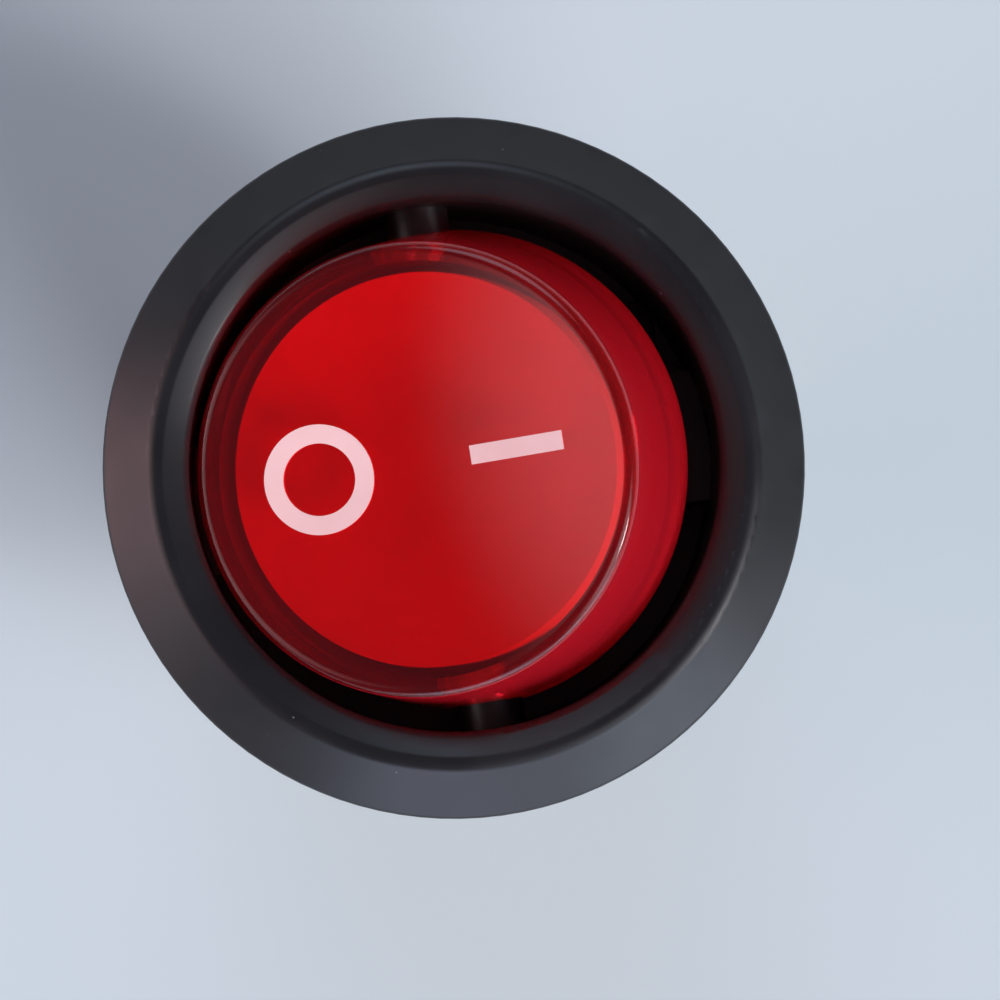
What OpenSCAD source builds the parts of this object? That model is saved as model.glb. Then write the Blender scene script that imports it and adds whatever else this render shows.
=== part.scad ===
// Round illuminated panel rocker switch, millimetres.
// Origin at the centre of the bezel's underside, +Z out of the panel towards the rocker, +X from the O mark to the I mark.
// The rocker is drawn with its O side pressed.

/* [Bezel] */
// outside diameter of the bezel
bezel_d = 23; // [20:0.1:26]
// diameter of the ridge that runs round the bezel
bezel_crest_d = 19.5; // [18:0.1:22]
// height of that ridge above the panel
bezel_h = 2.0; // [1:0.1:4]
// height of the bezel's thin outer edge
bezel_edge_h = 0.55; // [0.3:0.05:2]
// diameter of the opening the rocker moves in
opening_d = 17.3; // [16:0.1:19]
// height of the opening's lip above the panel
lip_h = 1.75; // [0.5:0.05:3]

/* [Barrel] */
// diameter of the barrel behind the panel
barrel_d = 19.8; // [18:0.1:22]
// depth of the barrel behind the panel
barrel_depth = 14.2; // [12:0.1:20]
// depth of the round well the rocker sits in
well_depth = 6.6; // [5:0.1:9]
// thickness of the barrel's floor
floor_t = 2.0; // [1:0.1:3]
// how far each snap ear stands out of the barrel
ear_out = 0.95; // [0.4:0.05:1.5]
// width of each snap ear
ear_w = 5.2; // [3:0.1:7]
// height of the barrier ribs between the terminals
barrier_h = 1.1; // [0:0.1:2]

/* [Rocker] */
// half of the rocker's travel, each way from level
rocker_tilt = 16; // [8:0.5:20]
// depth of the rocker's axle below the bezel's underside
axle_depth = 1.2; // [0:0.1:3]
// largest radius at the bottom of the lens
skirt_r = 7.9; // [7:0.05:8.2]
// radius of the lens at its rim
rim_r = 7.4; // [6.5:0.05:8]
// height of the rim above the axle
rim_h = 5.05; // [3:0.05:7]
// height of the lens's lower edge above the axle
skirt_h = -0.5; // [-2:0.05:1]
// how much lower the middle of the face is than its rim
dish_depth = 0.94; // [0.2:0.02:2]
// thickness of the lens over its face
face_t = 1.0; // [0.6:0.05:2]
// radius of the hollow inside the lens
hollow_r = 6.85; // [5:0.05:7]
// radius of the white diffuser inside the lens
diffuser_r = 6.5; // [5:0.05:7]
// air gap between the face and the diffuser
diffuser_gap = 0.6; // [0.02:0.02:1]
// radius of the lens's rounded rim
rim_round = 0.38; // [0.1:0.02:0.8]
// axle stub diameter
axle_d = 2.2; // [1.5:0.1:3]

/* [Marks] */
// distance of each mark from the middle of the face
mark_x = 3.35; // [2:0.05:5]
// how far the marks stand to one side of the middle
mark_y = 0.2; // [-1:0.05:1]
// outside diameter of the ring mark
ring_mark_d = 3.6; // [2:0.1:5]
// width of the lines of both marks
mark_line = 0.62; // [0.3:0.02:1]
// length of the bar mark
bar_mark_l = 3.2; // [2:0.1:5]

/* [Contacts] */
// tilt of the rocking contact, each way from level
contact_tilt = 8; // [4:0.5:12]
// depth of the rocking contact's axis below the bezel's underside
fulcrum_depth = 10.4; // [9:0.1:12]
// thickness of the rocking contact's strip
strip_t = 0.7; // [0.4:0.05:1]
// width of the rocking contact
strip_w = 3.4; // [2:0.1:4]
// distance of the silver contacts from the middle
contact_x = 5.9; // [4:0.1:6.5]
// diameter of the silver contacts
contact_d = 2.6; // [1.5:0.1:3]

/* [Terminals] */
// distance between neighbouring terminals
terminal_pitch = 7; // [5:0.1:8]
// width of the blades
blade_w = 4.8; // [4:0.1:6.3]
// thickness of the blades
blade_t = 0.8; // [0.5:0.1:1]
// length of the blades below the barrel
blade_l = 8.6; // [6:0.1:10]

/* [Hidden] */
$fn = 96;
axle_z = -axle_depth;
fulcrum_z = -fulcrum_depth;
floor_z = -barrel_depth + floor_t;
blade_end_z = -barrel_depth - blade_l;
opening_r = opening_d / 2;
// rounding between the well and the slope that leads up to the ridge
lip_slope = (bezel_h - lip_h) / (bezel_crest_d / 2 - 0.25 - opening_r);
lip_round = 0.45;
lip_x = opening_r + lip_round - 0.01;
lip_z = lip_h + (lip_x - opening_r) * lip_slope - (lip_round - 0.01) * sqrt(1 + lip_slope * lip_slope);
lip_end = lip_x - lip_round * sin(atan(lip_slope));
barrel_r = barrel_d / 2;
// dish of the face, as a sphere above it
dish_r = (rim_r * rim_r + dish_depth * dish_depth) / (2 * dish_depth);
dish_z = rim_h - dish_depth + dish_r;
rim_x = rim_r - rim_round;
rim_z = dish_z - sqrt(pow(dish_r + rim_round, 2) - rim_x * rim_x);
base_x = skirt_r - rim_round;
base_z = skirt_h + rim_round;
// plunger
tip_r = 0.9;
plunger_r = 0.95;
guide_r = 1.02;
guide_bottom = -4.6;
guide_top = 1.3;
strip_top = 0.1 + strip_t;
tip_reach = fulcrum_depth - axle_depth - strip_top - tip_r - 0.02;
// path of the plunger's tip, seen from the rocking contact, as an arc
end_x = tip_reach * sin(rocker_tilt);
end_z = fulcrum_depth - axle_depth - tip_reach * cos(rocker_tilt);
path_x = end_x * cos(contact_tilt) - end_z * sin(contact_tilt);
path_rise = end_x * sin(contact_tilt) + end_z * cos(contact_tilt) - strip_top - tip_r - 0.02;
path_r = (path_x * path_x + path_rise * path_rise) / (2 * path_rise);
dip_r = path_r + tip_r;
dip_angle = asin(path_x / path_r) + 2;
dip_rise = dip_r * (1 - cos(dip_angle));
arm_bottom = strip_top + dip_rise - strip_t;
button_h = 0.55;
dome_r = 4;
closed_z = fulcrum_z - contact_x * sin(contact_tilt) + (arm_bottom - button_h + dome_r) * cos(contact_tilt) - dome_r;
stop_z = fulcrum_z - 6.2 * sin(contact_tilt) + arm_bottom * cos(contact_tilt) - 0.02;
// lamp and its resistor stand in the well
lamp_y = 3.75;
lamp_r = 1.3;
resistor_y = -4.6;
shelf_z = -well_depth;

// ---------- helpers ----------

// a convex profile with rounded corners, turned about Z; each point is [radius, height, corner radius]
module turned(points) {
    count = len(points);
    corners = [for (i = [0:count - 1])
        let (p = points[i], a = points[(i + count - 1) % count], b = points[(i + 1) % count],
             to_a = [a[0] - p[0], a[1] - p[1]] / norm([a[0] - p[0], a[1] - p[1]]),
             to_b = [b[0] - p[0], b[1] - p[1]] / norm([b[0] - p[0], b[1] - p[1]]),
             half = acos(to_a * to_b) / 2, cut = p[2] / tan(half), inside = p[2] * 0.01,
             mid = (to_a + to_b) / norm(to_a + to_b))
        [[p[0], p[1]] + to_a * cut + mid * inside, [p[0], p[1]] + to_b * cut + mid * inside,
         [p[0], p[1]] + mid * p[2] / sin(half), p[2]]];
    rotate_extrude() polygon([for (corner = corners) each (corner[3] > 0 ? [corner[0], corner[1]] : [corner[0]])]);
    for (corner = corners) if (corner[3] > 0) rotate_extrude() translate(corner[2]) circle(r = corner[3]);
}

// a profile in the XZ plane given thickness along Y
module across(width) {
    rotate([90, 0, 0]) linear_extrude(height = width, center = true) children();
}

// corners of a route rounded into short bends
function bent(route, size) = [for (i = [0:len(route) - 1])
    let (p = route[i])
    each (i == 0 || i == len(route) - 1 ? [p] :
        let (a = route[i - 1] - p, b = route[i + 1] - p,
             from = p + a / norm(a) * size, to = p + b / norm(b) * size)
        [for (t = [0:0.25:1]) from * (1 - t) * (1 - t) + p * 2 * t * (1 - t) + to * t * t])];

// round wire swept along a path; up is a direction the path never follows
module wire(path, radius, up, sides = 8) {
    last = len(path) - 1;
    rings = [for (i = [0:last])
        let (ahead = path[min(i + 1, last)] - path[max(i - 1, 0)],
             side = cross(ahead, up) / norm(cross(ahead, up)),
             over = cross(side, ahead) / norm(cross(side, ahead)))
            for (k = [0:sides - 1]) path[i] + (side * cos(360 * k / sides) + over * sin(360 * k / sides)) * radius];
    walls = [for (i = [0:last - 1]) for (k = [0:sides - 1])
        let (a = i * sides + k, b = i * sides + (k + 1) % sides)
            each [[a, b + sides, b], [a, a + sides, b + sides]]];
    polyhedron(points = rings, faces = concat([[for (k = [0:sides - 1]) k]], walls,
        [[for (k = [sides - 1:-1:0]) last * sides + k]]), convexity = 8);
}

// places things that move with the rocker, measured from its axle
module on_rocker() {
    translate([0, 0, axle_z]) rotate([0, -rocker_tilt, 0]) children();
}

// places things that move with the rocking contact, measured from its axis
module on_contact() {
    translate([0, 0, fulcrum_z]) rotate([0, contact_tilt, 0]) children();
}

// ---------- housing ----------

module bezel() {
    turned([[7.5, 0, 0], [bezel_d / 2, 0, 0], [bezel_d / 2, bezel_edge_h, 0.22],
            [bezel_crest_d / 2 + 0.1, bezel_h, 0.55], [bezel_crest_d / 2 - 0.25, bezel_h, 0.25],
            [opening_r, lip_h, 0], [7.5, lip_h, 0]]);
}

// part of the barrel's wall between two radii, on its +Y side
module wall_part(width, low, high, inner, outer) {
    intersection() {
        difference() {
            translate([0, 0, low]) cylinder(r = outer, h = high - low);
            translate([0, 0, low - 1]) cylinder(r = inner, h = high - low + 2);
        }
        translate([-width / 2, 0, low - 1]) cube([width, outer + 1, high - low + 2]);
    }
}

module snap_ear() {
    // sprung tongue with a wedge that catches behind the panel
    wall_part(ear_w, -8.3, -2.9, barrel_r - 0.6, barrel_r);
    difference() {
        rotate([90, 0, 90]) linear_extrude(height = ear_w, center = true)
            polygon([[barrel_r - 0.9, -2.9], [barrel_r + ear_out - 0.25, -2.9], [barrel_r + ear_out, -3.2],
                     [barrel_r + ear_out, -3.7], [barrel_r - 0.1, -7.6], [barrel_r - 0.9, -7.6]]);
        translate([0, 0, -9]) cylinder(r = barrel_r - 0.6, h = 8);
    }
}

module housing() {
    color([0.1, 0.1, 0.11]) difference() {
        union() {
            bezel();
            // barrel with a chamfered lower edge
            rotate_extrude() polygon([[0, 0.2], [barrel_r, 0.2], [barrel_r, -barrel_depth + 4.2],
                [barrel_r - 0.35, -barrel_depth + 3.85], [barrel_r - 0.35, -barrel_depth + 0.6],
                [barrel_r - 0.95, -barrel_depth], [0, -barrel_depth]]);
            // barrier ribs between the terminals, and pads where the mould pushes the part out
            for (side = [-1, 1]) {
                translate([side * terminal_pitch / 2 - 0.4, -4.6, -barrel_depth - barrier_h])
                    cube([0.8, 9.2, barrier_h + 0.5]);
                for (end = [-1, 1]) translate([side * 3.5, end * 6.6, -barrel_depth - 0.25])
                    cylinder(r = 0.9, h = 0.5);
            }
            // key that stops the switch turning in its panel
            translate([barrel_r - 0.4, -0.6, -barrel_depth + 4.2])
                cube([0.95, 1.2, barrel_depth - 4.2]);
        }
        // well for the rocker, with a rounded lip
        translate([0, 0, -well_depth]) cylinder(r = opening_r, h = well_depth + bezel_h + 1);
        rotate_extrude() difference() {
            polygon([[opening_r - 0.1, lip_z], [opening_r + 0.2, lip_z],
                     [lip_end, lip_z + lip_round * cos(atan(lip_slope))],
                     [lip_end, lip_h + 1], [opening_r - 0.1, lip_h + 1]]);
            translate([lip_x, lip_z]) circle(r = lip_round);
        }
        // chamber for the contacts
        translate([-7.9, -2.3, floor_z]) cube([15.8, 4.6, barrel_depth]);
        // bearings for the axle
        for (side = [-1, 1]) translate([0, side * (opening_r + 0.3), axle_z])
            rotate([90, 0, 0]) cylinder(r = axle_d / 2 + 0.05, h = 1.0, center = true);
        // recesses that the snap ears spring back into
        for (side = [0, 180]) rotate([0, 0, side])
            wall_part(ear_w + 1.2, -7.9, -2.65, barrel_r - 0.82, barrel_r + 1);
        // slots the terminals pass through
        for (place = [-1, 0, 1]) translate([place * terminal_pitch - blade_t / 2 - 0.02, -1.92, -barrel_depth - 1])
            cube([blade_t + 0.04, 3.84, floor_t + 2]);
        // seats for the shoulders of the blades
        for (place = [-1, 0, 1]) translate([place * terminal_pitch - blade_t / 2 - 0.2, -blade_w / 2 - 0.2, -barrel_depth - 1])
            cube([blade_t + 0.4, blade_w + 0.4, 1.5]);
        // seat for the lamp, with a ledge under its base
        translate([0, lamp_y, shelf_z - 0.76]) cylinder(r = lamp_r + 0.06, h = 2);
        translate([0, lamp_y, shelf_z - 1.3]) cylinder(r = lamp_r - 0.3, h = 2);
        // passages for the lamp's leads
        translate([0, lamp_y - 0.8, shelf_z - 1.3]) cube([6.2, 1.6, 2]);
        translate([6.45, 1, floor_z + 0.3]) cube([1.1, 2.3, 8]);
        translate([5.9, 2.5, shelf_z - 1.3]) cube([1.65, 2.4, 2]);
        translate([-7.55, -3.3, floor_z + 0.3]) cube([1.1, 2.3, 8]);
    }
    color([0.1, 0.1, 0.11]) {
        for (side = [0, 180]) rotate([0, 0, side]) snap_ear();
        // ledges that stop the rocker
        intersection() {
            difference() {
                translate([0, 0, shelf_z - 0.3]) cylinder(r = opening_r + 0.3, h = well_depth - 3.9 + 0.3);
                translate([0, 0, shelf_z - 1]) cylinder(r = 7.35, h = 6);
            }
            for (side = [-1, 1]) translate([side * 8 - 1.5, -2.2, shelf_z - 0.3]) cube([3, 4.4, 4]);
        }
        // rib that stops the rocking contact when it is open
        translate([5.6, -2.4, floor_z - 0.2]) cube([0.6, 4.8, stop_z - floor_z + 0.2]);
        // cradle under the resistor
        for (place = [-1.4, 1.4]) translate([place - 0.3, resistor_y - 1.0, shelf_z - 0.2])
            difference() {
                cube([0.6, 2.0, 0.9]);
                translate([-1, 1.0, 1.12]) rotate([0, 90, 0]) cylinder(r = 0.88, h = 3);
            }
    }
}

// ---------- rocker ----------

module lens_body() {
    wall = [base_x - rim_x, base_z - rim_z] / norm([base_x - rim_x, base_z - rim_z]);
    out = [-wall[1], wall[0]] * rim_round * 0.99;
    rotate_extrude() polygon([[0, skirt_h], [0, rim_z], [rim_x, rim_z + rim_round * 0.97], [rim_x, rim_z] + out,
                              [base_x, base_z] + out, [base_x, skirt_h + 0.004]]);
    rotate_extrude() translate([rim_x, rim_z]) circle(r = rim_round);
    rotate_extrude() translate([base_x, base_z]) circle(r = rim_round);
}

module lens_hollow() {
    difference() {
        polygon([[0, -3], [0, rim_h], [hollow_r, rim_h], [hollow_r, -3]]);
        translate([0, dish_z]) circle(r = dish_r + face_t);
    }
}

module ring_outline() {
    translate([-mark_x, mark_y]) difference() {
        circle(r = ring_mark_d / 2);
        circle(r = ring_mark_d / 2 - mark_line);
    }
}

module bar_outline() {
    translate([mark_x, mark_y]) square([bar_mark_l, mark_line], center = true);
}

module rocker_lens() {
    on_rocker() color([0.75, 0.05, 0.07, 0.75]) difference() {
        lens_body();
        // the dish bites a hair into the rounded rim
        translate([0, 0, dish_z]) sphere(r = dish_r + 0.01);
        rotate_extrude() lens_hollow();
        // notches over the axle
        for (side = [-1, 1]) translate([0, side * 7.3, 0]) rotate([90, 0, 0]) {
            cylinder(r = axle_d / 2 + 0.12, h = 2.4, center = true);
            translate([-axle_d / 2 - 0.12, -3, -1.2]) cube([axle_d + 0.24, 3, 2.4]);
        }
        // recesses for the marks
        intersection() {
            linear_extrude(height = 9) { ring_outline(); bar_outline(); }
            translate([0, 0, dish_z]) sphere(r = dish_r + 0.15);
        }
    }
}

module mark_skin() {
    intersection() {
        linear_extrude(height = 9) children();
        difference() {
            translate([0, 0, dish_z]) sphere(r = dish_r + 0.15);
            translate([0, 0, dish_z]) sphere(r = dish_r - 0.02);
        }
    }
}

module off_mark() {
    on_rocker() color([0.95, 0.85, 0.86]) mark_skin() ring_outline();
}

module on_mark() {
    on_rocker() color([0.95, 0.85, 0.86]) mark_skin() bar_outline();
}

module rocker_diffuser() {
    // white dished disc under the face, with a short rim that stands on the frame
    on_rocker() color([0.92, 0.92, 0.88]) rotate_extrude() difference() {
        polygon([[0, 1.5], [0, rim_h], [diffuser_r, rim_h], [diffuser_r, 1.5]]);
        translate([0, dish_z]) circle(r = dish_r + face_t + diffuser_gap);
        difference() {
            polygon([[-1, 1], [-1, rim_h], [diffuser_r - 0.8, rim_h], [diffuser_r - 0.8, 1]]);
            translate([0, dish_z]) circle(r = dish_r + face_t + diffuser_gap + 0.6);
        }
    }
}

module rocker_frame() {
    ring_r = hollow_r - 0.05;
    on_rocker() color([0.12, 0.12, 0.13]) difference() {
        union() {
            difference() {
                translate([0, 0, -0.9]) cylinder(r = ring_r, h = 2.38);
                translate([0, 0, -2]) cylinder(r = ring_r - 0.8, h = 5);
            }
            // guide for the plunger, on two spokes
            translate([0, 0, guide_bottom]) cylinder(r = 1.75, h = guide_top + 0.5 - guide_bottom);
            translate([-ring_r + 0.4, -0.5, -0.6]) cube([2 * ring_r - 0.8, 1, 2.0]);
            // axle stubs and the bosses that carry them
            for (side = [-1, 1]) {
                translate([0, side * 7.55, 0]) rotate([90, 0, 0]) cylinder(r = axle_d / 2, h = 3.5, center = true);
                translate([-1.6, side > 0 ? 5.3 : -6.1, -0.9]) cube([3.2, 0.8, 2.38]);
            }
        }
        translate([0, 0, guide_bottom - 1]) cylinder(r = guide_r, h = guide_top - guide_bottom + 1);
    }
}

module plunger() {
    on_rocker() color([0.93, 0.92, 0.88]) {
        translate([0, 0, -tip_reach]) sphere(r = tip_r);
        translate([0, 0, -tip_reach]) cylinder(r = tip_r, h = 3);
        translate([0, 0, -tip_reach + 2.4]) cylinder(r = plunger_r, h = tip_reach - 2.4 - 1.6);
        translate([0, 0, -1.7]) cylinder(r = 0.4, h = 1.3);
    }
}

// path of a wound spring whose end turns lie closed
function coil(radius, wire_r, low, high, turns) =
    let (closed = 0.9, lift = 2.1 * wire_r, free = high - low - 2 * wire_r - 2 * closed * lift)
    [for (i = [0:turns * 16]) let (t = i / 16, turn = 360 * t,
        z = low + wire_r + lift * (min(t, closed) + max(t - turns + closed, 0))
            + free * min(max((t - closed) / (turns - 2 * closed), 0), 1))
        [radius * cos(turn), radius * sin(turn), z]];

module plunger_spring() {
    on_rocker() color([0.75, 0.76, 0.78]) wire(coil(0.7, 0.13, -1.58, guide_top - 0.02, 6), 0.13, [0, 0, 1]);
}

// ---------- contacts ----------

module strip() {
    centre_z = strip_top + dip_r;
    bend = [dip_r * sin(dip_angle), centre_z - dip_r * cos(dip_angle)];
    inner = [(dip_r + 0.03) * sin(dip_angle - 4), centre_z - (dip_r + 0.03) * cos(dip_angle - 4)];
    under = [(dip_r + strip_t - 0.03) * sin(dip_angle - 4), centre_z - (dip_r + strip_t - 0.03) * cos(dip_angle - 4)];
    turn_x = bend[0] + 0.45;
    difference() {
        union() {
            // dip that the plunger's tip runs in
            across(strip_w) intersection() {
                difference() {
                    translate([0, centre_z]) circle(r = dip_r + strip_t);
                    translate([0, centre_z]) circle(r = dip_r);
                }
                polygon([[0, centre_z], bend, [bend[0] + 0.5, -1], [-bend[0] - 0.5, -1], [-bend[0], bend[1]]]);
            }
            // arms, longer on the side that carries the silver contact
            across(strip_w) polygon([inner, under, [turn_x, arm_bottom], [6.2, arm_bottom],
                     [6.2, arm_bottom + strip_t], [bend[0] + 0.02, arm_bottom + strip_t]]);
            across(strip_w) polygon([[-inner[0], inner[1]], [-under[0], under[1]], [-turn_x, arm_bottom],
                     [-7.2, arm_bottom], [-7.2, arm_bottom + strip_t], [-bend[0] - 0.02, arm_bottom + strip_t]]);
        }
        across(strip_w + 1) circle(r = 0.45);
    }
}

module rocking_contact() {
    on_contact() color([0.85, 0.62, 0.3]) strip();
}

module moving_contact() {
    on_contact() color([0.88, 0.88, 0.87]) translate([-contact_x, 0, arm_bottom]) intersection() {
        translate([0, 0, -button_h]) cylinder(r = contact_d / 2, h = button_h);
        translate([0, 0, dome_r - button_h]) sphere(r = dome_r);
    }
}

module fixed_contact() {
    color([0.88, 0.88, 0.87]) translate([-contact_x, 0, closed_z - 0.02 - 0.4]) cylinder(r = contact_d / 2, h = 0.4);
}

// ---------- terminals ----------

module blade(inner_top, inner_w) {
    // flat blade in the YZ plane, wide below the barrel and narrow inside it
    rotate([90, 0, 90]) linear_extrude(height = blade_t, center = true) difference() {
        polygon([[-blade_w / 2 + 0.9, blade_end_z], [blade_w / 2 - 0.9, blade_end_z],
                 [blade_w / 2, blade_end_z + 0.9], [blade_w / 2, -barrel_depth + 0.5],
                 [inner_w / 2, -barrel_depth + 0.5], [inner_w / 2, inner_top],
                 [-inner_w / 2, inner_top], [-inner_w / 2, -barrel_depth + 0.5],
                 [-blade_w / 2, -barrel_depth + 0.5], [-blade_w / 2, blade_end_z + 0.9]]);
        translate([0, blade_end_z + 3.4]) circle(r = 0.8);
    }
}

module terminal_common() {
    color([0.86, 0.72, 0.42]) {
        blade(fulcrum_z, 3.8);
        translate([0, 0, fulcrum_z]) rotate([90, 0, 0]) cylinder(r = blade_t / 2, h = 3.8, center = true);
    }
}

module terminal_load() {
    shelf_top = closed_z - 0.42;
    color([0.86, 0.72, 0.42]) {
        translate([-terminal_pitch, 0, 0]) blade(shelf_top, 3.8);
        translate([-terminal_pitch - blade_t / 2, -1.9, shelf_top - 0.6]) cube([2.9, 3.8, 0.6]);
    }
}

module terminal_lamp() {
    color([0.86, 0.72, 0.42]) translate([terminal_pitch, 0, 0]) blade(floor_z + 1.4, 3.8);
}

// ---------- lamp ----------

bulb_z = shelf_z - 0.75;
lead_z = bulb_z - 0.22;

module lamp_bulb() {
    translate([0, lamp_y, bulb_z]) color([0.95, 0.93, 0.9, 0.5]) difference() {
        union() {
            cylinder(r = lamp_r, h = 5.6);
            translate([0, 0, 5.6]) sphere(r = lamp_r);
            translate([0, 0, 6.7]) cylinder(r = 0.35, h = 0.5);
        }
        translate([0, 0, 1.4]) cylinder(r = lamp_r - 0.28, h = 4.2);
        translate([0, 0, 5.61]) sphere(r = lamp_r - 0.28);
        // holes the electrodes are sealed into
        for (side = [-1, 1]) translate([0, side * 0.45, -1]) cylinder(r = 0.19, h = 3);
    }
}

module lamp_electrodes() {
    color([0.7, 0.7, 0.72]) for (side = [-1, 1]) translate([0, lamp_y + side * 0.45, bulb_z]) {
        translate([0, 0, 0.02]) cylinder(r = 0.17, h = 2);
        translate([0, 0, 1.9]) cylinder(r = 0.32, h = 3);
    }
}

module lamp_resistor() {
    translate([0, resistor_y, shelf_z + 0.92]) rotate([0, 90, 0]) color([0.85, 0.72, 0.52]) {
        cylinder(r = 0.72, h = 2.4, center = true);
        for (side = [-1, 1]) translate([0, 0, side * 1.5]) cylinder(r = 0.86, h = 0.9, center = true);
    }
}

module lamp_leads() {
    high = shelf_z + 0.92;
    color([0.8, 0.8, 0.8]) {
        // resistor to lamp
        wire(bent([[1.95, resistor_y, high], [5.0, resistor_y, high], [6.1, -3.3, shelf_z + 0.45],
                   [6.1, 1.8, shelf_z + 0.45], [5.0, lamp_y - 0.45, lead_z], [0, lamp_y - 0.45, lead_z],
                   [0, lamp_y - 0.45, bulb_z]], 0.2), 0.15, [0.31, 0.23, 0.92]);
        // lamp to its terminal
        wire(bent([[0, lamp_y + 0.45, bulb_z], [0, lamp_y + 0.45, lead_z], [5.4, lamp_y + 0.45, lead_z],
                   [7.0, 2.7, shelf_z - 0.8], [7.0, 2.7, floor_z + 1.0], [7.0, 1.92, floor_z + 1.0]], 0.2),
                   0.15, [0.31, 0.83, -0.12]);
        // resistor to the load terminal
        wire(bent([[-1.95, resistor_y, high], [-4.8, resistor_y, high], [-7.0, -2.7, shelf_z + 0.2],
                   [-7.0, -2.7, floor_z + 0.55], [-7.0, -1.92, floor_z + 0.55]], 0.2), 0.15, [0.31, 0.83, -0.12]);
    }
}

housing();
rocker_lens();
rocker_diffuser();
rocker_frame();
off_mark();
on_mark();
plunger();
plunger_spring();
rocking_contact();
moving_contact();
fixed_contact();
terminal_common();
terminal_load();
terminal_lamp();
lamp_bulb();
lamp_electrodes();
lamp_resistor();
lamp_leads();
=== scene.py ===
"""Finishes, floor, lamps and camera for a round panel rocker switch with a clear red rocker."""

import logging
import math
from dataclasses import dataclass, field
from enum import Enum

import bmesh
import bpy
from mathutils import Matrix, Vector


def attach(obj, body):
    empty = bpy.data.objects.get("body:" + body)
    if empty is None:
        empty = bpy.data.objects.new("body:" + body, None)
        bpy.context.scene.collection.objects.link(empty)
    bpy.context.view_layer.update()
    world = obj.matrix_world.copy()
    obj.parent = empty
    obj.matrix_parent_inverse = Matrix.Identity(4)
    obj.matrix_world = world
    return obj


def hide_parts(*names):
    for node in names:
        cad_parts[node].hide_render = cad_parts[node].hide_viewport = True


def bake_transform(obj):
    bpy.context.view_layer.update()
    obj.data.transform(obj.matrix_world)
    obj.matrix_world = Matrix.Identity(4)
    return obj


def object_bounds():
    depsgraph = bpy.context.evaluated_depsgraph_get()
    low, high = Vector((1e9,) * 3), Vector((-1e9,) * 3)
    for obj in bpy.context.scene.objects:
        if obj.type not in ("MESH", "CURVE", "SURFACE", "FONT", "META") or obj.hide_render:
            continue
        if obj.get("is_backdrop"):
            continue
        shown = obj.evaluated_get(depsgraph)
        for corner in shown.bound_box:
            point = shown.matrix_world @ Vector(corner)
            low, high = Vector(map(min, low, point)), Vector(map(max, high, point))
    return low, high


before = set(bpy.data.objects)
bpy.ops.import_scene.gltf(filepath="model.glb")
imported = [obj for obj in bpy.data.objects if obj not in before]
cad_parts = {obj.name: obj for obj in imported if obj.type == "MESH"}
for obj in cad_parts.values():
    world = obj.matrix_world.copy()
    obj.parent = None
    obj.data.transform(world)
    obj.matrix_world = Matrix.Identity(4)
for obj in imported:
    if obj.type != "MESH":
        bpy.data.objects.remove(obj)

LOG = logging.getLogger("rocker_switch")
MM = 0.001
# the rocker's turn at rest, in degrees, and its axle's height, in millimetres
TILT = -16.0
AXLE = -1.2
# how many rays the shading of rounded and of rubbed edges takes
ROUND_SAMPLES = 6
RUB_SAMPLES = 4
Node = bpy.types.Node
Socket = bpy.types.NodeSocket
Tree = bpy.types.NodeTree
Piece = bpy.types.Object
Material = bpy.types.Material
Colour = tuple[float, float, float, float]
Profile = list[tuple[float, float]]


class Slot(Enum):
    """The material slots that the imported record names."""

    MOULDING = "black_moulding"
    LENS = "red_lens"
    NYLON = "white_nylon"
    PRINT = "mark_print"
    SPRING = "spring_steel"
    COPPER = "copper_strip"
    SILVER = "silver_contact"
    BRASS = "terminal_brass"
    GLASS = "lamp_glass"
    RESISTOR = "resistor_body"
    WIRE = "lead_wire"


class Zone(Enum):
    """The parts of the lens's surface that differ from its face."""

    WALL = "red_lens_wall"
    INSIDE = "red_lens_inside"


class Body(Enum):
    """The bodies that move on their own."""

    BASE = "base"
    ROCKER = "rocker"
    PLUNGER = "plunger"
    CONTACT = "rocking_contact"


# ---------------------------------------------------------------- node tools


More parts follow.
